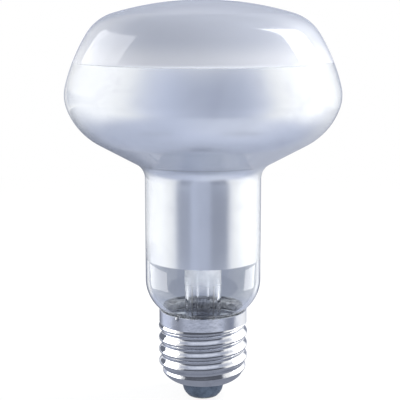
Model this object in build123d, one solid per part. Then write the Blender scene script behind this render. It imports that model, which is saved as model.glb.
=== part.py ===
import os
from math import acos, asin, ceil, cos, degrees, radians, sin, sqrt

from build123d import *

# Reflector bulb standing on its centre contact, axis along +Z, sizes in millimetres

# Blown glass bulb: outline of tangent arcs from the crown down, headings turn down from the horizontal
overall_length = 117.5
bulb_diameter = 80.0
neck_diameter = 34.0
glass_wall = 0.9
crown_radius = 90.6
shoulder_radius = 13.6
shoulder_heading = 58.3
side_radius = 51.6
side_heading = 76.3
equator_radius = 11.0
equator_heading = 109.3
belly_radius = 18.85
cone_heading = 151.3
heel_radius = 5.4
throat_angle = 55.0
seal_height = 17.5

# Mirror on the inside of the glass
mirror_below_crown = 17.4
clear_window_height = 15.5
mirror_thickness = 0.1

# Screw cap of rolled sheet
cap_height = 26.6
sheet = 0.35
thread_diameter = 26.4
thread_pitch = 3.629
thread_depth = 1.0
thread_phase = 180.0
thread_phase_height = 17.84
thread_start_fade = 1.0
thread_end_fade = 2.4
thread_stations = 10
skirt_step = -0.2
skirt_length = 3.5
bowl_radius = 6.6
bowl_bottom = 4.7
rim_gap = 0.45

# Insulator, centre contact and cement
insulator_depth = 1.6
insulator_tip_inset = 0.7
insulator_tip_height = 2.1
run_out_gap = 0.4
contact_radius = 4.7
contact_thickness = 0.4
contact_ledge = 0.2
eyelet_radius = 1.4
eyelet_bore = 1.0
eyelet_height = 4.0
contact_edge = 0.25
solder_fill = 3.0
cement_recess = 1.2
cement_gap = 0.3

# Stem, exhaust tube and wires
stem_diameter = 10.8
stem_length = 27.0
press_width = 12.0
press_thickness = 4.4
press_taper = 6.0
press_length = 7.0
rod_diameter = 2.4
button_diameter = 4.4
button_below_filament = 8.5
exhaust_diameter = 4.0
exhaust_wall = 0.5
exhaust_tip_height = 14.0
pump_hole_diameter = 1.6
pump_hole_rise = 3.0
lead_diameter = 0.4
lead_clearance = 0.15
lead_bend = 1.2
rim_bend = 0.3
side_lead_angle = -125.0
side_lead_drop = 1.8
lead_straight = 3.0

# Filament horseshoe and its supports
filament_below_crown = 35.5
filament_ring_radius = 9.0
filament_diameter = 0.9
filament_opening = 60.0
filament_bend = 2.0
support_count = 5
support_diameter = 0.35
support_embed = 1.2
hook_clearance = 0.05

# Side solder dot and the notch in the rim
solder_radius = 0.7
solder_height = 0.4
solder_drop = 0.35
notch_depth = 0.9

bulb_radius = bulb_diameter / 2
neck_radius = neck_diameter / 2
thread_radius = thread_diameter / 2
skirt_radius = thread_radius + skirt_step
skirt_bore = skirt_radius - sheet
thread_top = cap_height - skirt_length
bowl_center = bowl_bottom + bowl_radius
lip_radius = thread_radius - bowl_radius
insulator_top = bowl_bottom + insulator_depth
thread_end = insulator_top + run_out_gap
root_bore = thread_radius - thread_depth - sheet
collar_radius = root_bore - lead_diameter - 2 * lead_clearance
throat_radius = skirt_bore - rim_gap
stem_radius = stem_diameter / 2
stem_bore = stem_radius - glass_wall
exhaust_radius = exhaust_diameter / 2
exhaust_bore = exhaust_radius - exhaust_wall
lead_radius = lead_diameter / 2
lead_offset = (exhaust_radius + stem_bore) / 2
flare_radius = collar_radius - glass_wall - stem_radius
press_bottom = seal_height + stem_length
press_top = press_bottom + press_taper + press_length
filament_height = overall_length - filament_below_crown
button_height = filament_height - button_below_filament
side_lead_radius = (collar_radius + root_bore) / 2
coil_radius = filament_diameter / 2
support_radius = support_diameter / 2
button_radius = button_diameter / 2


def sin_deg(angle):
    return sin(radians(angle))


def cos_deg(angle):
    return cos(radians(angle))


def around(radius, angle, height):
    return Vector(radius * cos_deg(angle), radius * sin_deg(angle), height)


# Solid cylinder on the lamp's axis between two heights
def rod(radius, bottom, top):
    return Pos(0, 0, bottom) * Cylinder(radius, top - bottom, align=(Align.CENTER, Align.CENTER, Align.MIN))


# A profile is drawn flat, with x as the radius and y as the height, and turned about the lamp's axis
def turned(profile):
    return revolve(Plane.XZ * profile, Axis.Z)


# The crown's half angle lets the arcs add up to the bulb's widest radius
crown_angle = degrees(
    asin(
        (
            bulb_radius
            - shoulder_radius * sin_deg(shoulder_heading)
            - side_radius * (sin_deg(side_heading) - sin_deg(shoulder_heading))
            - equator_radius * (1 - sin_deg(side_heading))
        )
        / (crown_radius - shoulder_radius)
    )
)

# The cone under the belly is as long as it takes to reach the neck
belly_end_radius = (
    bulb_radius
    - equator_radius * (1 - sin_deg(equator_heading))
    - belly_radius * (sin_deg(equator_heading) - sin_deg(cone_heading))
)
heel_start_radius = neck_radius + heel_radius * (1 - sin_deg(cone_heading))
cone_length = (belly_end_radius - heel_start_radius) / -cos_deg(cone_heading)

# Below the neck the glass tucks in to the rim's throat and on to the collar inside the cap
throat_turn = 1 - cos_deg(throat_angle)
tuck_radius = (neck_radius - throat_radius) / throat_turn
collar_arc = (throat_radius - collar_radius) / throat_turn


# Outer skin of the bulb, or a parallel one inset from it, from the crown to the collar's end
def bulb_skin(inset):
    path = [JernArc((0, overall_length - inset), (1, 0), crown_radius - inset, -crown_angle)]

    def arc(radius, turn):
        path.append(JernArc(path[-1] @ 1, path[-1] % 1, radius, turn))

    def straight(length):
        start = path[-1] @ 1
        path.append(Line(start, start + (path[-1] % 1) * length))

    arc(shoulder_radius - inset, crown_angle - shoulder_heading)
    arc(side_radius - inset, shoulder_heading - side_heading)
    arc(equator_radius - inset, side_heading - equator_heading)
    arc(belly_radius - inset, equator_heading - cone_heading)
    straight(cone_length)
    arc(heel_radius + inset, cone_heading - 90)
    straight((path[-1] @ 1).Y - cap_height - tuck_radius * sin_deg(throat_angle))
    arc(tuck_radius - inset, -throat_angle)
    arc(collar_arc + inset, throat_angle)
    straight((path[-1] @ 1).Y - seal_height)
    return path


# Layer of glass or coating between two parallel skins
def skin_layer(outer_inset, inner_inset):
    outer = bulb_skin(outer_inset)
    inner = bulb_skin(inner_inset)
    ends = [Line(outer[0] @ 0, inner[0] @ 0), Line(outer[-1] @ 1, inner[-1] @ 1)]
    return make_face(outer + inner + ends)


def glass_envelope():
    return turned(skin_layer(0, glass_wall))


# The mirror covers the inside from below the face down to the top of the clear window
def mirror_coating():
    top = overall_length - mirror_below_crown
    bottom = cap_height + clear_window_height
    band = Pos(bulb_radius / 2, (top + bottom) / 2) * Rectangle(bulb_diameter, top - bottom)
    return turned(skin_layer(glass_wall, glass_wall + mirror_thickness) & band)


def smooth_step(share):
    share = min(max(share, 0), 1)
    return share * share * (3 - 2 * share)


# Share of the full thread at a height, fading in below the skirt
def thread_start(height):
    return smooth_step((thread_top - height) / thread_start_fade)


# Half depth of the thread at a height, fading out into the skirt and into the bowl
def thread_swing(height):
    end = smooth_step((height - thread_end) / thread_end_fade)
    return thread_depth / 2 * thread_start(height) * end


# Radius of the crests at a height, inset by the sheet for the cap's inside
def crest_radius(height, inset):
    below = bowl_center - height
    if below <= 0:
        return thread_radius + skirt_step * (1 - thread_start(height)) - inset
    return lip_radius + sqrt((bowl_radius - inset) ** 2 - below**2)


# Bowl's arc from a point on it down to its flat lip
def bowl_arc(start, inset):
    turn = degrees(acos((bowl_center - start.Y) / (bowl_radius - inset)))
    tangent = Vector(start.Y - bowl_center, lip_radius - start.X)
    return JernArc(start, tangent, bowl_radius - inset, -turn)


# Outer form of the cap up to a given height, or one inset from it, as a filled solid
# A round section whose centre goes once about the axis per pitch makes the rounded thread
def cap_form(inset, top):
    count = ceil((thread_top - thread_end) / thread_pitch * thread_stations)
    sections = []
    for i in range(count + 1):
        height = thread_end + (thread_top - thread_end) * i / count
        swing = thread_swing(height)
        angle = thread_phase + 360 * (height - thread_phase_height) / thread_pitch
        section = Circle(crest_radius(height, inset) - swing)
        sections.append(Pos(around(swing, angle, height)) * section)
    thread = loft(sections)
    skirt = rod(skirt_radius - inset, thread_top, top)

    bowl_start = Vector(crest_radius(thread_end, inset), thread_end)
    bowl = bowl_arc(bowl_start, inset)
    floor = (0, (bowl @ 1).Y)
    close = Polyline(bowl @ 1, floor, (0, thread_end), bowl_start)
    return thread + skirt + turned(make_face([bowl, close]))


# Notch in the rim that lets the side wire out
def rim_notch():
    width = lead_diameter + 2 * lead_clearance
    notch = Box(4 * sheet, width, 2 * notch_depth)
    return Pos(around(skirt_radius, side_lead_angle, cap_height)) * Rot(0, 0, side_lead_angle) * notch


def cap_shell():
    inside = cap_form(sheet, cap_height + sheet)
    hole = rod(lip_radius, 0, bowl_center)
    return cap_form(0, cap_height) - inside - hole - rim_notch()


# Dark glass moulded into the bowl and out through its hole to a rounded tip
def cap_insulator():
    start = Vector(crest_radius(insulator_top, sheet), insulator_top)
    seat = bowl_arc(start, sheet)
    lip = Vector(lip_radius, bowl_bottom)
    tip = Vector(lip_radius - insulator_tip_inset, insulator_tip_height)
    ledge = Vector(contact_radius + contact_ledge, contact_thickness)
    cone = Polyline(seat @ 1, lip, tip)
    nose = TangentArc(tip, ledge, tangent=tip - lip)
    close = Polyline(ledge, (eyelet_radius, contact_thickness), (eyelet_radius, insulator_top), start)
    return turned(make_face([seat, cone, nose, close]))


# Stamped contact with its eyelet drawn up into the insulator
def contact_plate():
    outline = Polyline(
        (eyelet_bore, 0),
        (contact_radius, 0),
        (contact_radius, contact_thickness),
        (eyelet_radius, contact_thickness),
        (eyelet_radius, eyelet_height),
        (eyelet_bore, eyelet_height),
        close=True,
    )
    profile = make_face(outline)
    corner = profile.vertices().group_by(Axis.X)[-1].sort_by(Axis.Y)[0]
    return turned(fillet(corner, contact_edge))


def contact_solder(wire):
    return rod(eyelet_bore, 0, solder_fill) - wire


# Cement between the collar and the skirt, cast round the side wire
def cap_cement(wire):
    skin = bulb_skin(0)
    close = Polyline(skin[-1] @ 1, (0, seal_height), (0, overall_length))
    blank = turned(make_face(skin + [close]))
    ring = rod(skirt_bore, thread_top + cement_gap, cap_height - cement_recess)
    return ring - blank - wire


# Stem: a flare fused to the collar, a tube, the flat press, the centre rod and its button
def glass_stem(wires):
    rim = Line((collar_radius, seal_height), (collar_radius - glass_wall, seal_height))
    flare = JernArc(rim @ 1, (-1, 0), flare_radius, -90)
    tube = Polyline(flare @ 1, (stem_radius, press_bottom), (stem_bore, press_bottom))
    bore = Line(tube @ 1, (stem_bore, (flare @ 1).Y))
    hollow = JernArc(bore @ 1, (0, -1), flare_radius + glass_wall, 90)
    close = Polyline(hollow @ 1, (collar_radius, seal_height - glass_wall), rim @ 0)
    stem = turned(make_face([rim, flare, tube, bore, hollow, close]))

    flat = Pos(0, 0, press_bottom + press_taper) * Ellipse(press_width / 2, press_thickness / 2)
    stem += loft([Pos(0, 0, press_bottom) * Circle(stem_radius), flat])
    stem += extrude(flat, press_length)
    stem += rod(rod_diameter / 2, press_top, button_height)
    stem += Pos(0, 0, button_height) * Sphere(button_radius)

    outlet_height = press_bottom + pump_hole_rise
    outlet = Pos(0, 0, outlet_height) * Rot(90, 0, 0) * rod(pump_hole_diameter / 2, 0, stem_diameter)
    stem -= rod(exhaust_bore, press_bottom, outlet_height) + outlet
    for wire in wires:
        stem -= wire
    return stem


# Exhaust tube from the press down to its melted tip
def exhaust_tube():
    def wall(radius):
        top = Vector(radius, press_bottom)
        turn = Vector(radius, exhaust_tip_height + exhaust_radius)
        return [Line(top, turn), JernArc(turn, (0, -1), radius, -90)]

    outer = wall(exhaust_radius)
    inner = wall(exhaust_bore)
    ends = [Line(outer[0] @ 0, inner[0] @ 0), Line(outer[-1] @ 1, inner[-1] @ 1)]
    return turned(make_face(outer + inner + ends))


# Round wire along straight runs joined by arcs
def wire_along(points, bends, radius):
    path = FilletPolyline(points, radius=bends)
    return sweep(Plane(path @ 0, z_dir=path % 0) * Circle(radius), path)


# End of a lead just short of the filament's end, and its straight run out of the press
def lead_head(side):
    run_end = Vector(side * lead_offset, 0, press_top + lead_straight)
    coil_end = around(filament_ring_radius, side * filament_opening / 2 - 90, filament_height)
    reach = (coil_end - run_end).normalized() * (coil_radius + lead_clearance)
    return [coil_end - reach, run_end]


def center_lead_wire():
    bend_height = exhaust_tip_height - lead_bend
    points = lead_head(1) + [
        Vector(lead_offset, 0, bend_height),
        Vector(0, 0, insulator_top),
        Vector(0, 0, solder_fill / 2),
    ]
    return wire_along(points, lead_bend, lead_radius)


# The side wire goes under the flare, up beside the collar and out through the rim's notch
def side_lead_wire():
    low = seal_height - glass_wall - side_lead_drop
    step_start = thread_top + cement_gap
    rim_radius = skirt_bore - lead_clearance - lead_radius
    exit_height = cap_height - notch_depth / 2
    points = lead_head(-1) + [
        Vector(-lead_offset, 0, low),
        around(side_lead_radius, side_lead_angle, low),
        around(side_lead_radius, side_lead_angle, step_start),
        around(rim_radius, side_lead_angle, step_start + rim_radius - side_lead_radius),
        around(rim_radius, side_lead_angle, exit_height),
        around(skirt_radius + solder_height / 2, side_lead_angle, exit_height),
    ]
    return wire_along(points, [lead_bend] * 3 + [rim_bend] * 3, lead_radius)


# Dome of solder on the skirt over the end of the side wire
def side_solder(wire):
    dome_radius = (solder_radius**2 + solder_height**2) / (2 * solder_height)
    center = around(skirt_radius + solder_height - dome_radius, side_lead_angle, cap_height - solder_drop)
    return Pos(center) * Sphere(dome_radius) - rod(skirt_radius, thread_top, cap_height + dome_radius) - wire


filament_step = (360 - filament_opening) / (support_count + 1)
filament_start = filament_opening / 2 - 90


# Horseshoe of straight coil runs, as one tube of the coil's outer diameter
def filament_coil():
    points = [
        around(filament_ring_radius, filament_start + filament_step * i, filament_height)
        for i in range(support_count + 2)
    ]
    return wire_along(points, filament_bend, coil_radius)


# Wire from the button to a loop round the filament at one of its bends
def support_wire(i):
    angle = filament_start + filament_step * (i + 1)
    bend_inset = filament_bend * (1 / cos_deg(filament_step / 2) - 1)
    hook = around(filament_ring_radius - bend_inset, angle, filament_height)
    loop_radius = coil_radius + hook_clearance + support_radius
    base = Vector(0, 0, button_height)
    reach = (hook - base).normalized()
    foot = base + reach * (button_radius - support_embed)
    length = (hook - foot).length - loop_radius
    shank = Plane(foot, z_dir=reach) * rod(support_radius, 0, length)
    loop = Plane(hook, z_dir=around(1, angle + 90, 0)) * Torus(loop_radius, support_radius)
    return shank + loop


side_wire = side_lead_wire()
center_wire = center_lead_wire()
supports = {f"support_wire_{i + 1}": support_wire(i) for i in range(support_count)}
nodes = {
    "glass_envelope": glass_envelope(),
    "mirror_coating": mirror_coating(),
    "glass_stem": glass_stem([side_wire, center_wire, *supports.values()]),
    "exhaust_tube": exhaust_tube(),
    "side_lead_wire": side_wire,
    "center_lead_wire": center_wire,
    "filament_coil": filament_coil(),
    **supports,
    "cap_cement": cap_cement(side_wire),
    "cap_shell": cap_shell(),
    "cap_insulator": cap_insulator(),
    "contact_plate": contact_plate(),
    "contact_solder": contact_solder(center_wire),
    "side_solder": side_solder(side_wire),
}

os.makedirs("parts", exist_ok=True)
for name, solid in nodes.items():
    export_step(solid, f"parts/{name}.step")
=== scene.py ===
import math

import bpy
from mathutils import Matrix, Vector, noise


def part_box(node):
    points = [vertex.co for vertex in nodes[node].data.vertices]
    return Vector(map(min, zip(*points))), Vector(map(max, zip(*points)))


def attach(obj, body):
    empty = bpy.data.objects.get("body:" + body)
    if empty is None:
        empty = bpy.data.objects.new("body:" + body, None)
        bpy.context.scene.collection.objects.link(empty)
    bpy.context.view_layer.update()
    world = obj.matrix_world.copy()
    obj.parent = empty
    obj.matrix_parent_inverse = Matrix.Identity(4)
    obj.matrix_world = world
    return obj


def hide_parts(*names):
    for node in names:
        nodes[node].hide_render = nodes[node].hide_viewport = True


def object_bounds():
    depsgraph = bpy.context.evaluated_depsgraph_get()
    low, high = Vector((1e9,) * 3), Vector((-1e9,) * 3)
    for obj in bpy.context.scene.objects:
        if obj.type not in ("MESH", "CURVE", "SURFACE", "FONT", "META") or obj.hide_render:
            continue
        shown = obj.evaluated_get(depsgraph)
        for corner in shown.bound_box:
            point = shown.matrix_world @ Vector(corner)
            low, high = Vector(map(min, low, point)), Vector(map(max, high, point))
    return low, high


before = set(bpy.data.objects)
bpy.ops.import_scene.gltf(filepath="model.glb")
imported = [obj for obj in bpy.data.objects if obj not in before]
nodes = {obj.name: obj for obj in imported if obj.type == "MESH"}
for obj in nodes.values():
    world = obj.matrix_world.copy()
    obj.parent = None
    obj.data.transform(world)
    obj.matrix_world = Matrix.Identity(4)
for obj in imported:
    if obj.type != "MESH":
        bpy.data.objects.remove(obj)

cadLow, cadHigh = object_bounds()
mm = 0.001  # sizes below are in millimetres
tiny = 1e-6  # lengths this close are the same
rad = math.radians
white = (1.0, 1.0, 1.0, 1.0)
scene = bpy.context.scene
scene.view_settings.view_transform = "Standard"
print("frame loaded with", len(nodes), "nodes")

# camera where the photo was taken from
photoView = {
    "distance": 301.1,
    "height": 114.16,
    "sideways": -0.89,
    "pitchDown": 8.14,  # degrees
    "focal": 93.65,
    "sensor": 36.0,
    "shiftUp": -0.1,  # share of the frame
    "nearest": 10.0,
}


def addCamera():
    data = bpy.data.cameras.new("photoCamera")
    data.lens = photoView["focal"]
    data.sensor_width = photoView["sensor"]
    data.shift_y = photoView["shiftUp"]
    data.clip_start = photoView["nearest"] * mm
    camera = bpy.data.objects.new("photoCamera", data)
    camera.location = Vector((photoView["sideways"], -photoView["distance"], photoView["height"])) * mm
    camera.rotation_euler = (rad(90 - photoView["pitchDown"]), 0, 0)
    scene.collection.objects.link(camera)
    scene.camera = camera


addCamera()
print("camera set")


# node helpers
def addNode(tree, kind, values=None, **settings):
    node = tree.nodes.new(kind)
    for key, value in settings.items():
        setattr(node, key, value)
    for key, value in (values or {}).items():
        node.inputs[key].default_value = value
    return node


def feed(tree, socket, value):  # a plain value is set, an output is linked
    if isinstance(value, (int, float, tuple)):
        socket.default_value = value
    else:
        tree.links.new(value, socket)


def mathNode(tree, operation, *values):
    node = addNode(tree, "ShaderNodeMath", operation=operation)
    for socket, value in zip(node.inputs, values):
        feed(tree, socket, value)
    return node.outputs[0]


def rangeNode(tree, value, low, high, toLow=0.0, toHigh=1.0):  # smooth step from one level to another
    node = addNode(tree, "ShaderNodeMapRange", interpolation_type="SMOOTHSTEP")
    levels = {"Value": value, "From Min": low, "From Max": high, "To Min": toLow, "To Max": toHigh}
    for label, level in levels.items():
        feed(tree, node.inputs[label], level)
    return node.outputs["Result"]


def mixColor(tree, factor, first, second, blend="MIX"):
    node = addNode(tree, "ShaderNodeMix", data_type="RGBA", blend_type=blend)
    for index, value in ((0, factor), (6, first), (7, second)):  # the factor and the two colours
        feed(tree, node.inputs[index], value)
    return node.outputs[2]


def mixShader(tree, factor, first, second):
    node = addNode(tree, "ShaderNodeMixShader")
    for socket, output in zip(node.inputs, (factor, first, second)):
        tree.links.new(output, socket)
    return node.outputs[0]


def clearNode(tree, color=white):
    return addNode(tree, "ShaderNodeBsdfTransparent", {"Color": color}).outputs[0]


def objectPlace(tree):
    return addNode(tree, "ShaderNodeTexCoord").outputs["Object"]


def noiseNode(tree, place, scale, values):
    node = addNode(tree, "ShaderNodeTexNoise", values)
    tree.links.new(place, node.inputs["Vector"])
    feed(tree, node.inputs["Scale"], scale)
    return node.outputs["Fac"]


def newGroup(name, inputs, outputs):
    group = bpy.data.node_groups.new(name, "ShaderNodeTree")
    for label, value in inputs.items():
        kind = "NodeSocketColor" if isinstance(value, tuple) else "NodeSocketFloat"
        group.interface.new_socket(label, in_out="INPUT", socket_type=kind).default_value = value
    for label, kind in outputs.items():
        group.interface.new_socket(label, in_out="OUTPUT", socket_type=kind)
    return group, group.nodes.new("NodeGroupInput").outputs, group.nodes.new("NodeGroupOutput").inputs


def placeGroup(tree, group, values):
    node = tree.nodes.new("ShaderNodeGroup")
    node.node_tree = group
    for label, value in values.items():
        node.inputs[label].default_value = value
    return node.outputs


# effects that several finishes share
noiseLevels = {  # levels of the noise between which each effect comes in
    "film": (0.5, 0.75),
    "rub": (0.42, 0.72),
    "shine": (0.15, 0.85),
    "grain": (0.3, 0.7),
    "streak": (0.2, 0.8),
    "middle": 0.5,
}
turnedWear = {
    "drawnOut": (0.04, 0.04, 1.0),  # rings are long round the axis and short along it
    "ringShare": 0.5,
    "rubShare": 0.6,
    "dentScale": 420.0,
}


def makeBlownGlass():
    group, given, out = newGroup(
        "blownGlass",
        {"Wave Scale": 60.0, "Smudge Scale": 90.0, "Clean": 0.0, "Smudged": 0.05},
        {"Height": "NodeSocketFloat", "Roughness": "NodeSocketFloat", "Film": "NodeSocketFloat"},
    )
    place = objectPlace(group)
    wave = noiseNode(group, place, given["Wave Scale"], {"Detail": 1.0, "Roughness": 0.4})
    smudge = noiseNode(
        group, place, given["Smudge Scale"],
        {"Detail": 5.0, "Roughness": 0.6, "Distortion": 0.6},
    )
    film = rangeNode(group, smudge, *noiseLevels["film"])
    rough = rangeNode(group, film, 0.0, 1.0, given["Clean"], given["Smudged"])
    group.links.new(wave, out["Height"])
    group.links.new(rough, out["Roughness"])
    group.links.new(film, out["Film"])
    return group


def makeTurnedMetal():
    group, given, out = newGroup(
        "turnedMetal",
        {"Ring Scale": 4000.0, "Rub Scale": 220.0, "Bright": 0.12, "Dull": 0.3, "Dents": 0.0},
        {"Height": "NodeSocketFloat", "Roughness": "NodeSocketFloat", "Rub": "NodeSocketFloat"},
    )
    place = objectPlace(group)
    stretch = addNode(group, "ShaderNodeMapping", {"Scale": turnedWear["drawnOut"]})
    group.links.new(place, stretch.inputs["Vector"])
    ring = noiseNode(
        group, stretch.outputs["Vector"], given["Ring Scale"],
        {"Detail": 3.0, "Roughness": 0.6},
    )
    rub = noiseNode(
        group, place, given["Rub Scale"],
        {"Detail": 6.0, "Roughness": 0.65, "Distortion": 0.4},
    )
    dent = noiseNode(group, place, turnedWear["dentScale"], {"Detail": 2.0, "Roughness": 0.5})
    worn = rangeNode(group, rub, *noiseLevels["rub"])
    rubbed = mathNode(group, "MULTIPLY", worn, turnedWear["rubShare"])
    shine = mathNode(group, "MULTIPLY_ADD", ring, turnedWear["ringShare"], rubbed)
    rough = rangeNode(group, shine, *noiseLevels["shine"], given["Bright"], given["Dull"])
    group.links.new(mathNode(group, "MULTIPLY_ADD", dent, given["Dents"], ring), out["Height"])
    group.links.new(rough, out["Roughness"])
    group.links.new(worn, out["Rub"])
    return group


def makeMottle():
    group, given, out = newGroup(
        "mottle",
        {"Scale": 500.0, "Spread": 0.2, "Light": (0.8, 0.8, 0.8, 1.0), "Dark": (0.5, 0.5, 0.5, 1.0)},
        {"Color": "NodeSocketColor", "Height": "NodeSocketFloat"},
    )
    grain = noiseNode(group, objectPlace(group), given["Scale"], {"Detail": 7.0, "Roughness": 0.7})
    low = mathNode(group, "SUBTRACT", noiseLevels["middle"], given["Spread"])
    high = mathNode(group, "ADD", noiseLevels["middle"], given["Spread"])
    amount = rangeNode(group, grain, low, high)
    group.links.new(mixColor(group, amount, given["Dark"], given["Light"]), out["Color"])
    group.links.new(grain, out["Height"])
    return group


def makeHeightFade():
    group, given, out = newGroup("heightFade", {"Low": 0.0, "High": 0.1}, {"Mask": "NodeSocketFloat"})
    parts = addNode(group, "ShaderNodeSeparateXYZ")
    group.links.new(objectPlace(group), parts.inputs["Vector"])
    group.links.new(rangeNode(group, parts.outputs["Z"], given["Low"], given["High"]), out["Mask"])
    return group


blownGlass = makeBlownGlass()
turnedMetal = makeTurnedMetal()
mottle = makeMottle()
heightFade = makeHeightFade()
print("shared effects made")


def newFinish(name, values):  # Principled material with its plain values set on the shader
    material = bpy.data.materials.new(name)
    material.use_nodes = True
    tree = material.node_tree
    shader = tree.nodes["Principled BSDF"]
    for label, value in values.items():
        shader.inputs[label].default_value = value
    return material, tree, shader


def coverSurface(tree, shader, look, color, roughness, height):
    tree.links.new(color, shader.inputs["Base Color"])
    tree.links.new(roughness, shader.inputs["Roughness"])
    bump = addNode(tree, "ShaderNodeBump", {"Strength": look["bump"], "Distance": look["bumpDepth"] * mm})
    tree.links.new(height, bump.inputs["Height"])
    tree.links.new(bump.outputs["Normal"], shader.inputs["Normal"])


# glass finishes
frostLook = {
    "crown": (0.62, 0.655, 0.74, 1.0),
    # painted glow: the rim's colour makes the face lighter just above the mirror, for the light the mirror
    # sends up
    "rim": (0.85, 0.87, 0.92, 1.0),
    "fade": (1.0, 7.0),  # millimetres above the mirror's edge over which the painted glow of the rim's colour fades to the crown's
    "speckle": (0.93, 0.93, 0.93, 1.0),
    "roughness": 0.5,
    "uneven": 0.05,
    "transmission": 0.55,
    "grainScale": 9000.0,
    "bump": 0.15,
    "bumpDepth": 0.05,
}


def frostedGlass(edge):
    look = frostLook
    material, tree, shader = newFinish(
        "frostedGlass",
        {
            "Transmission Weight": look["transmission"],
            "IOR": 1.5,
            "Coat Weight": 1.0,
            "Coat Roughness": 0.02,
            "Coat IOR": 1.52,
        },
    )
    low, high = [edge + rise * mm for rise in look["fade"]]
    fade = placeGroup(tree, heightFade, {"Low": low, "High": high})
    grain = placeGroup(tree, mottle, {"Scale": look["grainScale"], "Light": white, "Dark": look["speckle"]})
    # painted glow: the lighter rim colour just above the mirror's edge fades to the crown's colour
    tone = mixColor(tree, fade["Mask"], look["rim"], look["crown"])
    speckled = mixColor(tree, 1.0, tone, grain["Color"], "MULTIPLY")
    smooth, rough = look["roughness"] - look["uneven"], look["roughness"] + look["uneven"]
    etched = rangeNode(tree, grain["Height"], *noiseLevels["grain"], smooth, rough)
    coverSurface(tree, shader, look, speckled, etched, grain["Height"])
    return material


clearLooks = {
    "bulbGlass": {
        "tint": (0.93, 0.95, 0.97, 1.0), "hazed": (0.88, 0.9, 0.93, 1.0),
        "smudged": 0.04, "waveScale": 55.0, "bump": 0.05, "bumpDepth": 1.0,
    },
    "stemGlass": {
        "tint": (0.92, 0.925, 0.95, 1.0), "hazed": (0.86, 0.865, 0.9, 1.0),
        "smudged": 0.04, "waveScale": 140.0, "bump": 0.12, "bumpDepth": 1.0,
    },
}
glassShadow = (0.92, 0.93, 0.94, 1.0)  # clear glass throws next to no shadow


def clearGlass(name):
    look = clearLooks[name]
    material, tree, shader = newFinish(name, {"Transmission Weight": 1.0, "IOR": 1.5})
    shadowRay = addNode(tree, "ShaderNodeLightPath").outputs["Is Shadow Ray"]
    surface = mixShader(tree, shadowRay, shader.outputs[0], clearNode(tree, glassShadow))
    tree.links.new(surface, tree.nodes["Material Output"].inputs["Surface"])
    skin = placeGroup(
        tree, blownGlass,
        {"Wave Scale": look["waveScale"], "Clean": 0.0, "Smudged": look["smudged"]},
    )
    tint = mixColor(tree, skin["Film"], look["tint"], look["hazed"])
    coverSurface(tree, shader, look, tint, skin["Roughness"], skin["Height"])
    return material


silverLook = {
    "light": (0.88, 0.89, 0.91, 1.0),
    "dark": (0.84, 0.85, 0.88, 1.0),
    "satin": 0.2,
    "dull": 0.23,
    "mist": (0.7, 0.25),  # millimetres below the upper edge where the metal thins to a white mist
    "waveScale": 45.0,
    "smudgeScale": 120.0,
    "bump": 0.02,
    "bumpDepth": 0.2,
}


def silverMirror(edge):
    look = silverLook
    material, tree, shader = newFinish("silverMirror", {"Specular IOR Level": 0.2})
    low, high = [edge - depth * mm for depth in look["mist"]]
    mist = placeGroup(tree, heightFade, {"Low": low, "High": high})
    tree.links.new(mathNode(tree, "SUBTRACT", 1.0, mist["Mask"]), shader.inputs["Metallic"])
    skin = placeGroup(
        tree, blownGlass,
        {
            "Wave Scale": look["waveScale"],
            "Smudge Scale": look["smudgeScale"],
            "Clean": look["satin"],
            "Smudged": look["dull"],
        },
    )
    silver = mixColor(tree, skin["Film"], look["light"], look["dark"])
    coverSurface(tree, shader, look, silver, skin["Roughness"], skin["Height"])
    return material


insulatorLook = {
    "light": (0.11, 0.145, 0.2, 1.0),
    "dark": (0.05, 0.068, 0.1, 1.0),
    "cloudScale": 350.0,
    "waveScale": 260.0,
    "smudgeScale": 400.0,
    "clean": 0.06,
    "smudged": 0.22,
    "bump": 0.2,
    "bumpDepth": 0.3,
}


def darkGlass():
    look = insulatorLook
    material, tree, shader = newFinish(
        "darkGlass",
        {"IOR": 1.55, "Coat Weight": 0.5, "Coat Roughness": 0.03},
    )
    skin = placeGroup(
        tree, blownGlass,
        {
            "Wave Scale": look["waveScale"],
            "Smudge Scale": look["smudgeScale"],
            "Clean": look["clean"],
            "Smudged": look["smudged"],
        },
    )
    cloud = placeGroup(
        tree, mottle,
        {"Scale": look["cloudScale"], "Light": look["light"], "Dark": look["dark"]},
    )
    coverSurface(tree, shader, look, cloud["Color"], skin["Roughness"], skin["Height"])
    return material


# metal and cement finishes
metalLooks = {
    "capMetal": {
        "clean": (0.83, 0.84, 0.86, 1.0), "rubbed": (0.72, 0.73, 0.76, 1.0),
        "bright": 0.05, "dull": 0.15, "rings": 5000.0, "dents": 20.0, "bump": 0.05, "bumpDepth": 0.08,
    },
    "contactMetal": {
        "clean": (0.8, 0.76, 0.66, 1.0), "rubbed": (0.6, 0.54, 0.42, 1.0),
        "bright": 0.2, "dull": 0.42, "rings": 6000.0, "dents": 0.0, "bump": 0.08, "bumpDepth": 0.08,
    },
    "leadMetal": {
        "clean": (0.66, 0.64, 0.61, 1.0), "rubbed": (0.5, 0.47, 0.44, 1.0),
        "bright": 0.25, "dull": 0.45, "rings": 3000.0, "dents": 0.0, "bump": 0.1, "bumpDepth": 0.08,
    },
    "filamentMetal": {
        "clean": (0.3, 0.3, 0.32, 1.0), "rubbed": (0.2, 0.2, 0.22, 1.0),
        "bright": 0.4, "dull": 0.6, "rings": 9000.0, "dents": 0.0, "bump": 0.1, "bumpDepth": 0.08,
    },
}


def turnedFinish(name):
    look = metalLooks[name]
    material, tree, shader = newFinish(name, {"Metallic": 1.0})
    skin = placeGroup(
        tree, turnedMetal,
        {
            "Ring Scale": look["rings"],
            "Bright": look["bright"],
            "Dull": look["dull"],
            "Dents": look["dents"],
        },
    )
    metal = mixColor(tree, skin["Rub"], look["clean"], look["rubbed"])
    coverSurface(tree, shader, look, metal, skin["Roughness"], skin["Height"])
    return material


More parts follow.
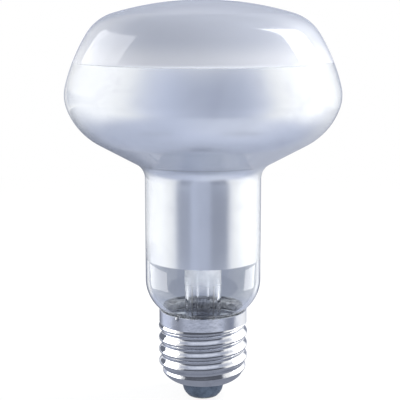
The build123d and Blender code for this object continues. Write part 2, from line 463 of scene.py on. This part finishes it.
lumpLooks = {
    "solder": {
        "light": (0.66, 0.67, 0.69, 1.0), "dark": (0.46, 0.47, 0.5, 1.0), "metallic": 1.0,
        "roughness": (0.3, 0.5), "scale": 900.0, "bump": 0.35, "bumpDepth": 0.3,
    },
    "cement": {
        "light": (0.84, 0.83, 0.84, 1.0), "dark": (0.075, 0.077, 0.088, 1.0), "metallic": 0.0,
        "roughness": (0.75, 0.95), "scale": 480.0, "bump": 0.8, "bumpDepth": 0.3,
    },
}


def lumpyFinish(name):
    look = lumpLooks[name]
    material, tree, shader = newFinish(name, {"Metallic": look["metallic"]})
    grain = placeGroup(tree, mottle, {"Scale": look["scale"], "Light": look["light"], "Dark": look["dark"]})
    rough = rangeNode(tree, grain["Height"], *noiseLevels["grain"], *look["roughness"])
    coverSurface(tree, shader, look, grain["Color"], rough, grain["Height"])
    return material


# blown bulb: the outline's tangent arcs from the crown down, headings turn down from the horizontal
bulbShape = {
    "crownRadius": 90.6,
    "shoulderRadius": 13.6,
    "shoulderHeading": 58.3,
    "sideRadius": 51.6,
    "sideHeading": 76.3,
    "equatorRadius": 11.0,
    "equatorHeading": 109.3,
    "bellyRadius": 18.85,
    "coneHeading": 151.3,
    "heelRadius": 5.4,
    "neckRadius": 17.0,
    "throatRadius": 12.2,
    "throatAngle": 55.0,
    "collarRadius": 11.15,
    "rimHeight": 26.6,
    "wall": 0.9,
    "arcStep": 1.5,  # degrees between points on an arc
    "fewestSteps": 3,
    "runStep": 2.0,
    "turns": 160,
}
sharpAngle = 35  # degrees at which an edge of a turned piece stays crisp
bulbLow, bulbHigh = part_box("glass_envelope")
mirrorLow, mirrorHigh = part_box("mirror_coating")
bulbRadius = round(bulbHigh.x / mm, 1)


def sinDeg(angle):
    return math.sin(rad(angle))


def cosDeg(angle):
    return math.cos(rad(angle))


def bulbOutline(inset):
    shape = bulbShape
    crownAngle = math.degrees(math.asin(
        (
            bulbRadius
            - shape["shoulderRadius"] * sinDeg(shape["shoulderHeading"])
            - shape["sideRadius"] * (sinDeg(shape["sideHeading"]) - sinDeg(shape["shoulderHeading"]))
            - shape["equatorRadius"] * (1 - sinDeg(shape["sideHeading"]))
        )
        / (shape["crownRadius"] - shape["shoulderRadius"])
    ))
    points = [(0.0, bulbHigh.z / mm - inset)]
    heading = [0.0]

    def arc(radius, target):  # radius is positive where the heading grows
        r, z = points[-1]
        start = heading[0]
        count = max(shape["fewestSteps"], math.ceil(abs(target - start) / shape["arcStep"]))
        for i in range(1, count + 1):
            turned = start + (target - start) * i / count
            points.append((
                r + radius * (sinDeg(turned) - sinDeg(start)),
                z + radius * (cosDeg(turned) - cosDeg(start)),
            ))
        heading[0] = target

    def run(length):
        r, z = points[-1]
        count = max(1, math.ceil(length / shape["runStep"]))
        for i in range(1, count + 1):
            points.append((
                r + cosDeg(heading[0]) * length * i / count,
                z - sinDeg(heading[0]) * length * i / count,
            ))

    arc(shape["crownRadius"] - inset, crownAngle)
    arc(shape["shoulderRadius"] - inset, shape["shoulderHeading"])
    arc(shape["sideRadius"] - inset, shape["sideHeading"])
    arc(shape["equatorRadius"] - inset, shape["equatorHeading"])
    arc(shape["bellyRadius"] - inset, shape["coneHeading"])
    heelMiddle = shape["neckRadius"] + shape["heelRadius"]
    heelStart = heelMiddle - (shape["heelRadius"] + inset) * sinDeg(shape["coneHeading"])
    run((points[-1][0] - heelStart) / -cosDeg(shape["coneHeading"]))
    arc(-shape["heelRadius"] - inset, 90.0)
    throatTurn = 1 - cosDeg(shape["throatAngle"])
    tuck = (shape["neckRadius"] - shape["throatRadius"]) / throatTurn
    run(points[-1][1] - shape["rimHeight"] - tuck * sinDeg(shape["throatAngle"]))
    arc(tuck - inset, 90.0 + shape["throatAngle"])
    arc((shape["collarRadius"] - shape["throatRadius"]) / throatTurn - inset, 90.0)
    run(points[-1][1] - bulbLow.z / mm)
    return points


def cutAt(outline, height):  # adds a point where the outline passes a height
    made = [outline[0]]
    for (r0, z0), (r1, z1) in zip(outline, outline[1:]):
        if min(z0, z1) < height - tiny and max(z0, z1) > height + tiny:
            share = (height - z0) / (z1 - z0)
            made.append((r0 + (r1 - r0) * share, height))
        made.append((r1, z1))
    return made


def addPiece(name, verts, faces, *finishes):
    mesh = bpy.data.meshes.new(name)
    mesh.from_pydata(verts, [], faces)
    for finish in finishes:
        mesh.materials.append(finish)
    piece = bpy.data.objects.new(name, mesh)
    scene.collection.objects.link(piece)
    return piece


def spin(name, loop, turns, finishes, zone=None):  # closed section turned about the axis
    verts, rings, faces, zones = [], [], [], []
    for r, z in loop:
        count = 1 if r < tiny else turns
        rings.append(range(len(verts), len(verts) + count))
        for k in range(count):
            angle = 2 * math.pi * k / turns
            verts.append((r * mm * math.cos(angle), r * mm * math.sin(angle), z * mm))
    for i, ring in enumerate(rings):
        after = rings[(i + 1) % len(rings)]
        if len(ring) == 1 and len(after) == 1:
            continue
        for k in range(turns):
            m = (k + 1) % turns
            places = ((ring, k), (after, k), (after, m), (ring, m))
            corners = [row[index % len(row)] for row, index in places]
            faces.append(list(dict.fromkeys(corners)))  # a triangle at the pole
            zones.append(zone(i) if zone else 0)
    piece = addPiece(name, verts, faces, *finishes)
    piece.data.polygons.foreach_set("use_smooth", [True] * len(faces))
    piece.data.polygons.foreach_set("material_index", zones)
    piece.data.set_sharp_from_angle(angle=rad(sharpAngle))
    return piece


def buildBulb():
    rim = mirrorHigh.z / mm
    outer = cutAt(bulbOutline(0.0), rim)
    inner = cutAt(bulbOutline(bulbShape["wall"]), rim)
    loop = outer + inner[::-1]

    def zone(i):  # frosted above the mirror, clear below its edge
        j = (i + 1) % len(loop)
        return 1 if min(loop[i][1], loop[j][1]) > rim - tiny else 0

    finishes = [clearGlass("bulbGlass"), frostedGlass(mirrorHigh.z)]
    bulb = spin("blown_bulb", loop, bulbShape["turns"], finishes, zone)
    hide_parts("glass_envelope")
    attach(bulb, "root")


mirrorShape = {"thick": 0.1, "bite": 0.03}  # the metal sits on the glass with no gap


def buildMirror():
    top, bottom = mirrorHigh.z / mm, mirrorLow.z / mm
    sides = []
    for inset in (bulbShape["wall"] - mirrorShape["bite"], bulbShape["wall"] + mirrorShape["thick"]):
        line = cutAt(cutAt(bulbOutline(inset), top), bottom)
        sides.append([(r, z) for r, z in line if bottom - tiny <= z <= top + tiny])
    loop = sides[0] + sides[1][::-1]
    mirror = spin("mirror_lining", loop, bulbShape["turns"], [silverMirror(mirrorHigh.z)])
    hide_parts("mirror_coating")
    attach(mirror, "root")


# the stem's white film is painted light, standing in for the light falling on its top
hazeShape = {
    "radius": 5.43,
    "thick": 0.02,
    "reach": 12.0,
    "rise": 3.0,
    "rows": 8,
    "turns": 96,
    "light": (0.99, 0.99, 1.0, 1.0),
    "dark": (0.9, 0.92, 0.95, 1.0),
    "grainScale": 300.0,
    "strength": 0.85,
    "uneven": 0.1,
}


def stemPaintedLight(low, high):  # painted light: a white film on the stem below the mirror, thinning downwards, makes the stem's top lighter
    look = hazeShape
    material, tree, shader = newFinish("stemPaintedLight", {"Roughness": 0.8, "Specular IOR Level": 0.2})
    fade = placeGroup(tree, heightFade, {"Low": low, "High": high})
    mist = placeGroup(
        tree, mottle,
        {"Scale": look["grainScale"], "Light": look["light"], "Dark": look["dark"]},
    )
    tree.links.new(mist["Color"], shader.inputs["Base Color"])
    thin, thick = look["strength"] - look["uneven"], look["strength"] + look["uneven"]
    streak = rangeNode(tree, mist["Height"], *noiseLevels["streak"], thin, thick)
    tree.links.new(mathNode(tree, "MULTIPLY", fade["Mask"], streak), shader.inputs["Alpha"])
    return material


def buildHaze():
    shape = hazeShape
    edge = mirrorLow.z / mm
    low, high = edge - shape["reach"], edge + shape["rise"]
    inner, outer = shape["radius"], shape["radius"] + shape["thick"]
    levels = [low + (high - low) * i / shape["rows"] for i in range(shape["rows"] + 1)]
    loop = [(outer, z) for z in levels] + [(inner, z) for z in levels[::-1]]
    haze = spin("stem_painted_light", loop, shape["turns"], [stemPaintedLight(low * mm, edge * mm)])
    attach(haze, "root")


cementShape = {
    "gap": 0.02,
    "rows": 8,
    "across": 9,
    "turns": 240,
    "lumpSize": 1.1,
    "lumpHeight": 0.5,
    "lumpFade": 0.8,  # how fast the finer lumps die away
    "lumpStep": 2.0,
    "lumpLayers": 3,
    "sink": 0.1,  # share of the lump height that the whole top lies lower
    "skin": 0.01,
}


def buildCement():  # ring of cast cement with an uneven top
    shape = cementShape
    low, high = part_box("cap_cement")
    bottom, top, outside = low.z / mm, high.z / mm, high.x / mm
    glass = bulbOutline(0.0)

    def glassRadius(z):
        for (r0, z0), (r1, z1) in zip(glass[::-1], glass[-2::-1]):
            if z0 <= z <= z1:
                return r0 + (r1 - r0) * (z - z0) / (z1 - z0)
        return glass[-1][0]

    loop = []
    for i in range(shape["rows"]):
        z = bottom + (top - bottom) * i / shape["rows"]
        loop.append((glassRadius(z) + shape["gap"], z))
    start = glassRadius(top) + shape["gap"]
    for i in range(shape["across"] + 1):
        loop.append((start + (outside - start) * i / shape["across"], top))
    loop.append((outside, bottom))
    ring = spin("cement_ring", loop, shape["turns"], [lumpyFinish("cement")])
    for vert in ring.data.vertices:
        if vert.co.z > (top - shape["skin"]) * mm:
            spot = vert.co / (shape["lumpSize"] * mm)
            lump = noise.fractal(spot, shape["lumpFade"], shape["lumpStep"], shape["lumpLayers"])
            vert.co.z += (min(0.0, lump) - shape["sink"]) * shape["lumpHeight"] * mm
    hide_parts("cap_cement")
    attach(ring, "root")


coilShape = {
    "ringRadius": 9.0,
    "opening": 60.0,  # degrees, towards the camera
    "runs": 6,
    "bend": 2.0,
    "bendSteps": 8,
    "coilRadius": 0.35,
    "wireRadius": 0.1,
    "pitch": 0.42,
    "stepsPerTurn": 10,
    "sides": 5,
}


def coilPath():  # straight runs round a ring, with rounded corners
    shape = coilShape
    step = (360 - shape["opening"]) / shape["runs"]
    corners = []
    for i in range(shape["runs"] + 1):
        angle = shape["opening"] / 2 - 90 + step * i
        corners.append(Vector((cosDeg(angle), sinDeg(angle))) * shape["ringRadius"])
    cut = shape["bend"] * math.tan(rad(step / 2))
    path = [corners[0]]
    for before, corner, after in zip(corners, corners[1:], corners[2:]):
        entry = corner - (corner - before).normalized() * cut
        leave = corner + (after - corner).normalized() * cut
        for i in range(shape["bendSteps"] + 1):
            share = i / shape["bendSteps"]
            path.append(entry * (1 - share) ** 2 + corner * 2 * share * (1 - share) + leave * share ** 2)
    path.append(corners[-1])
    return path


def buildCoil():  # fine wire wound along the path
    shape = coilShape
    sides = shape["sides"]
    low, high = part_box("filament_coil")
    level = (low.z + high.z) / 2 / mm
    up = Vector((0, 0, 1))
    path = coilPath()
    verts, faces = [], []
    travelled, nextStop = 0.0, 0.0
    for start, end in zip(path, path[1:]):
        run = (end - start).length
        ahead = Vector((end.x - start.x, end.y - start.y, 0)) / run
        aside = up.cross(ahead)
        while nextStop <= travelled + run:
            spot = start + (end - start) * (nextStop - travelled) / run
            angle = 2 * math.pi * nextStop / shape["pitch"]
            out = aside * math.cos(angle) + up * math.sin(angle)
            winding = (up * math.cos(angle) - aside * math.sin(angle)) * shape["coilRadius"]
            along = winding + ahead * shape["pitch"] / (2 * math.pi)
            across = along.normalized().cross(out)
            middle = Vector((spot.x, spot.y, level)) + out * shape["coilRadius"]
            for k in range(sides):
                turn = 2 * math.pi * k / sides
                skin = (out * math.cos(turn) + across * math.sin(turn)) * shape["wireRadius"]
                verts.append((middle + skin) * mm)
            nextStop += shape["pitch"] / shape["stepsPerTurn"]
        travelled += run
    last = len(verts) - sides  # where the last ring of points starts
    for here in range(0, last, sides):
        there = here + sides
        for k in range(sides):
            m = (k + 1) % sides
            faces.append((here + k, here + m, there + m, there + k))
    faces.append(tuple(range(sides))[::-1])
    faces.append(tuple(range(last, last + sides)))
    coil = addPiece("coiled_filament", verts, faces, turnedFinish("filamentMetal"))
    coil.data.polygons.foreach_set("use_smooth", [True] * len(faces))
    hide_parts("filament_coil")
    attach(coil, "root")


buildBulb()
buildMirror()
buildHaze()
buildCement()
buildCoil()
print("bulb, mirror, cement and filament built")


# carried-over pieces and their finishes
def dress(finish, *names):
    for name in names:
        nodes[name].material_slots[0].material = finish


supports = [name for name in nodes if name.startswith("support_wire_")]
dress(clearGlass("stemGlass"), "glass_stem", "exhaust_tube")
dress(turnedFinish("leadMetal"), "side_lead_wire", "center_lead_wire", *supports)
dress(turnedFinish("capMetal"), "cap_shell")
dress(darkGlass(), "cap_insulator")
dress(turnedFinish("contactMetal"), "contact_plate")
dress(lumpyFinish("solder"), "contact_solder", "side_solder")
print("carried-over pieces dressed")

# studio: paper walls with panels all round, and near cards, flags and softboxes about the neck and cap
studio = {
    "walls": (
        (-180, 0.85), (-152, 0.98), (-136, 1.28), (-110, 1.25), (-85, 1.18), (-73, 1.06), (-62, 0.96),
        (-51, 0.82), (-32, 0.69), (-13, 0.58), (5, 0.55), (18, 0.54), (33, 0.59), (52, 0.82),
        (63, 1.02), (80, 1.22), (100, 1.4), (138, 1.4), (152, 0.9), (180, 0.8),
    ),  # degrees round from the camera and how light the paper is there
    "table": (
        (-180, 0.25), (-150, 0.3), (-128, 0.7), (-95, 0.66), (-82, 0.4), (-64, 0.36), (-50, 0.58),
        (-20, 0.61), (10, 0.62), (36, 0.75), (52, 0.64), (64, 0.37), (86, 0.38), (102, 0.9),
        (140, 0.95), (180, 0.5),
    ),
    "below": (
        (-180, 0.9), (-140, 0.6), (-100, 0.6), (-60, 0.66), (-30, 0.7), (0, 0.76), (40, 0.79),
        (70, 0.8), (110, 0.71), (145, 0.65), (180, 0.9),
    ),
    "straightDown": 0.68,
    "back": 0.34,
    "lowBack": 0.6,
    "above": 0.48,
    "aboveInside": 1.0,  # what the frosted face lets into the bulb
    "floorLift": 6,  # degrees that the floor's edge stands higher towards the back
    "brightest": 1.5,
    "ambient": 0.6,
    "ambientTone": 0.9,
    "bounces": 24,
    "glossyBounces": 10,
}
studioEdges = {  # degrees between which one paper goes over into the next
    "backSides": (152, 166),  # round from the camera, either way
    "lowBackSides": (105, 135),
    "floorLift": (50, 115),
    "backTop": (1, -6),  # above the horizon, from here on
    "lowBackTop": (-20, -29),
    "straightDown": (-85, -62),
    "floorEdge": (-45, -35),
    "tableFront": (-45, -28),
    "tableBack": (-13.5, -12),
    "above": (28, 55),
    "aboveInside": (32, 54),
}
paperTint = {"red": -0.12, "green": -0.05, "blue": 0.17, "fade": 0.3}  # grey paper is a little blue
panels = {  # degrees round from the camera and above the horizon, heights at the two sides
    "frontDark": {
        "from": -60, "to": 56, "bottom": (-14, -14), "top": (40, 40), "soft": 9, "light": 0.12,
    },
    "frontHigh": {
        "from": -60, "to": 56, "bottom": (54, 54), "top": (70, 70), "soft": 5, "light": 0.8,
    },
    "underDark": {
        "from": -60, "to": 56, "bottom": (-62, -62), "top": (-29, -29), "soft": 6, "light": 0.1,
    },
    "leftDark": {
        "from": -150, "to": -95, "bottom": (-10, -10), "top": (2, 2), "soft": 3, "light": 0.6,
    },
    "backLeft": {
        "from": -192, "to": -158, "bottom": (-5, -5), "top": (30, 30), "soft": 8, "light": 0.52,
    },
    "backRight": {
        "from": 154, "to": 192, "bottom": (-5, -5), "top": (30, 30), "soft": 8, "light": 0.52,
    },
    "leftHigh": {
        "from": -136, "to": -86, "bottom": (12, 29.6), "top": (29.5, 46.5), "soft": 0.4, "light": 3.2,
    },
    "rightHigh": {
        "from": 100, "to": 129, "bottom": (24.7, 14.2), "top": (61, 36), "soft": 0.4, "light": 7.0,
    },
}


def paperTone(level):  # the tint fades out towards white
    tinted = min(1.0, max(0.0, (1.0 - level) / paperTint["fade"]))
    return (*[level * (1 + paperTint[part] * tinted) for part in ("red", "green", "blue")], 1.0)


def wallRamp(tree, around, walls):
    turn = rangeNode(tree, around, -math.pi, math.pi)
    turn.node.interpolation_type = "LINEAR"
    ramp = addNode(tree, "ShaderNodeValToRGB")
    ramp.color_ramp.interpolation = "CARDINAL"
    stops = ramp.color_ramp.elements
    while len(stops) < len(walls):
        stops.new(0.5)
    for stop, (angle, level) in zip(stops, walls):
        stop.position = (angle + 180) / 360
        stop.color = [part / studio["brightest"] for part in paperTone(level)]
    tree.links.new(turn, ramp.inputs["Fac"])
    gain = addNode(tree, "ShaderNodeVectorMath", {"Scale": studio["brightest"]}, operation="SCALE")
    tree.links.new(ramp.outputs["Color"], gain.inputs[0])
    return gain.outputs["Vector"]


def leaningEdge(tree, around, panel, edge):  # height of a panel's edge, from one side to the other
    first, last = panel[edge]
    lean = (last - first) / (panel["to"] - panel["from"])
    return mathNode(tree, "MULTIPLY_ADD", around, lean, rad(first - panel["from"] * lean))


def panelMask(tree, around, up, panel):
    soft = panel["soft"]
    across = mathNode(
        tree, "MULTIPLY",
        rangeNode(tree, around, rad(panel["from"] - soft), rad(panel["from"] + soft)),
        rangeNode(tree, around, rad(panel["to"] + soft), rad(panel["to"] - soft)),
    )
    fromTop = mathNode(tree, "SUBTRACT", up, leaningEdge(tree, around, panel, "top"))
    fromBottom = mathNode(tree, "SUBTRACT", up, leaningEdge(tree, around, panel, "bottom"))
    along = mathNode(
        tree, "MULTIPLY",
        rangeNode(tree, fromTop, rad(soft), rad(-soft)),
        rangeNode(tree, fromBottom, rad(-soft), rad(soft)),
    )
    return mathNode(tree, "MULTIPLY", across, along)


def studioWalls(tree, throughGlass):  # colour of the studio in each direction
    way = addNode(tree, "ShaderNodeSeparateXYZ")
    tree.links.new(addNode(tree, "ShaderNodeTexCoord").outputs["Generated"], way.inputs["Vector"])
    ahead = mathNode(tree, "MULTIPLY", way.outputs["Y"], -1.0)
    around = mathNode(tree, "ARCTAN2", way.outputs["X"], ahead)
    eitherWay = mathNode(tree, "ABSOLUTE", around)
    up = mathNode(tree, "ARCSINE", way.outputs["Z"])

    def past(value, name, *levels):
        return rangeNode(tree, value, *[rad(angle) for angle in studioEdges[name]], *levels)

    def patch(under, mask, name):
        return mixColor(tree, mask, under, paperTone(studio[name]))

    walls = wallRamp(tree, around, studio["walls"])
    behind = mathNode(tree, "MULTIPLY", past(eitherWay, "backSides"), past(up, "backTop"))
    walls = patch(walls, behind, "back")
    below = wallRamp(tree, around, studio["below"])
    below = mixColor(tree, past(up, "straightDown"), paperTone(studio["straightDown"]), below)
    rise = past(eitherWay, "floorLift", 0.0, rad(studio["floorLift"]))
    soft = mixColor(tree, past(mathNode(tree, "SUBTRACT", up, rise), "floorEdge"), below, walls)
    lowBack = mathNode(tree, "MULTIPLY", past(eitherWay, "lowBackSides"), past(up, "lowBackTop"))
    soft = patch(soft, lowBack, "lowBack")
    soft = patch(soft, past(up, "aboveInside"), "aboveInside")
    table = wallRamp(tree, around, studio["table"])
    sharp = mixColor(tree, past(up, "tableFront"), below, table)
    sharp = mixColor(tree, past(up, "tableBack"), sharp, walls)
    sharp = patch(sharp, past(up, "above"), "above")
    for panel in panels.values():
        sharp = mixColor(tree, panelMask(tree, around, up, panel), sharp, paperTone(panel["light"]))
    return mixColor(tree, throughGlass, sharp, soft)  # the panels don't show in what lies behind glass


def addStudioLight():
    world = bpy.data.worlds.new("studio")
    scene.world = world
    world.use_nodes = True
    tree = world.node_tree
    tree.nodes.clear()
    path = addNode(tree, "ShaderNodeLightPath").outputs
    seen = addNode(tree, "ShaderNodeBackground")
    tree.links.new(studioWalls(tree, path["Is Transmission Ray"]), seen.inputs["Color"])
    ambient = addNode(
        tree, "ShaderNodeBackground",
        {"Color": paperTone(studio["ambientTone"]), "Strength": studio["ambient"]},
    )
    backdrop = addNode(tree, "ShaderNodeBackground", {"Color": white, "Strength": 1.0})
    mirrored = mathNode(tree, "MAXIMUM", path["Is Glossy Ray"], path["Is Transmission Ray"])
    around = mixShader(tree, mirrored, ambient.outputs[0], seen.outputs[0])
    final = mixShader(tree, path["Is Camera Ray"], around, backdrop.outputs[0])
    tree.links.new(final, addNode(tree, "ShaderNodeOutputWorld").inputs["Surface"])


def stageFinish(name):
    material = bpy.data.materials.new(name)
    material.use_nodes = True
    material.node_tree.nodes.clear()
    return material, material.node_tree


def glowNode(tree, color):
    return addNode(tree, "ShaderNodeEmission", {"Color": color, "Strength": 1.0}).outputs[0]


def oneSided(tree, front):  # clear from behind
    backfacing = addNode(tree, "ShaderNodeNewGeometry").outputs["Backfacing"]
    surface = mixShader(tree, backfacing, front, clearNode(tree))
    tree.links.new(surface, addNode(tree, "ShaderNodeOutputMaterial").inputs["Surface"])


floorPlan = {
    "width": 60000.0,
    "paper": (0.95, 0.95, 0.95, 1.0),
    "contactShade": 0.3,  # in the metal, right under the lamp
    "shadeReach": (24.0, 60.0),
    "shadowReach": (100.0, 420.0),
    "glow": 0.85,  # share of plain white near the lamp, where its shadow falls
}


def addFloor():  # white to the camera, and metal shows only its shaded spot under the lamp
    material, tree = stageFinish("floor")
    path = addNode(tree, "ShaderNodeLightPath").outputs
    length = addNode(tree, "ShaderNodeVectorMath", operation="LENGTH")
    tree.links.new(objectPlace(tree), length.inputs[0])
    away = length.outputs["Value"]
    near, far = [reach * mm for reach in floorPlan["shadeReach"]]
    bare = mathNode(tree, "MAXIMUM", rangeNode(tree, away, near, far), path["Is Transmission Ray"])
    shade = glowNode(tree, paperTone(floorPlan["contactShade"]))
    spot = mixShader(tree, bare, shade, clearNode(tree))
    paper = addNode(tree, "ShaderNodeBsdfDiffuse", {"Color": floorPlan["paper"]})
    near, far = [reach * mm for reach in floorPlan["shadowReach"]]
    whiteness = rangeNode(tree, away, near, far, floorPlan["glow"], 1.0)
    straight = mixShader(tree, whiteness, paper.outputs[0], glowNode(tree, white))
    oneSided(tree, mixShader(tree, path["Is Camera Ray"], spot, straight))
    half = floorPlan["width"] / 2 * mm
    corners = [(-half, -half, 0), (half, -half, 0), (half, half, 0), (-half, half, 0)]
    floor = addPiece("floor", corners, [(0, 1, 2, 3)], material)


cardForms = {  # radius and height of the lower and the upper edge
    "card": {"low": (54.5, 30.0), "high": (45.6, 61.5), "behindGlass": True},
    "flag": {"low": (54.0, 14.0), "high": (38.0, 30.0), "behindGlass": False},
    "box": {"low": (88.0, 7.5), "high": (55.0, 30.5), "behindGlass": False},
}
cards = {  # degrees round from the camera
    "left_card": {"form": "card", "from": -46, "to": -21, "tone": 0.42},
    "right_card": {"form": "card", "from": 13, "to": 44, "tone": 0.37},
    "left_flag": {"form": "flag", "from": -165, "to": -110, "tone": 0.2},
    "right_flag": {"form": "flag", "from": 132, "to": 165, "tone": 0.35},
    "left_box": {"form": "box", "from": -115, "to": -66, "tone": 4.2},
    "right_box": {"form": "box", "from": 79, "to": 110, "tone": 5.2},
}
cardSteps = 12


def addCards():  # seen only through the glass, in the mirror, or else only in bare metal and glass
    for name, card in cards.items():
        form = cardForms[card["form"]]
        material, tree = stageFinish(name)
        oneSided(tree, glowNode(tree, paperTone(card["tone"])))
        verts = []
        for i in range(cardSteps + 1):
            angle = rad(card["from"] + (card["to"] - card["from"]) * i / cardSteps)
            for radius, height in (form["low"], form["high"]):
                verts.append(Vector((math.sin(angle) * radius, -math.cos(angle) * radius, height)) * mm)
        faces = [(2 * i, 2 * i + 1, 2 * i + 3, 2 * i + 2) for i in range(cardSteps)]  # front to the lamp
        piece = addPiece(name, verts, faces, material)
        piece.visible_camera = False
        piece.visible_diffuse = False
        piece.visible_shadow = False
        piece.visible_transmission = form["behindGlass"]
        piece.visible_glossy = not form["behindGlass"]


lampPlan = {
    "leftLamp": {"place": (-440, 120, 290), "width": 260, "height": 340, "power": 2.6},
    "rightLamp": {"place": (410, 70, 410), "width": 260, "height": 340, "power": 4.5},
    "frontLamp": {"place": (160, -560, 70), "width": 200, "height": 200, "power": 2.3},
}


def addLamps():
    middle = (cadLow + cadHigh) / 2
    for name, plan in lampPlan.items():
        data = bpy.data.lights.new(name, "AREA")
        data.shape = "RECTANGLE"
        data.size = plan["width"] * mm
        data.size_y = plan["height"] * mm
        data.energy = plan["power"]
        lamp = bpy.data.objects.new(name, data)
        lamp.location = Vector(plan["place"]) * mm
        lamp.rotation_euler = (middle - lamp.location).to_track_quat("-Z", "Y").to_euler()
        lamp.visible_glossy = False  # the walls carry the reflections
        lamp.visible_transmission = False
        scene.collection.objects.link(lamp)


addLamps()
addStudioLight()
addFloor()
addCards()
scene.cycles.max_bounces = studio["bounces"]
scene.cycles.transmission_bounces = studio["bounces"]
scene.cycles.glossy_bounces = studio["glossyBounces"]
print("studio lit")
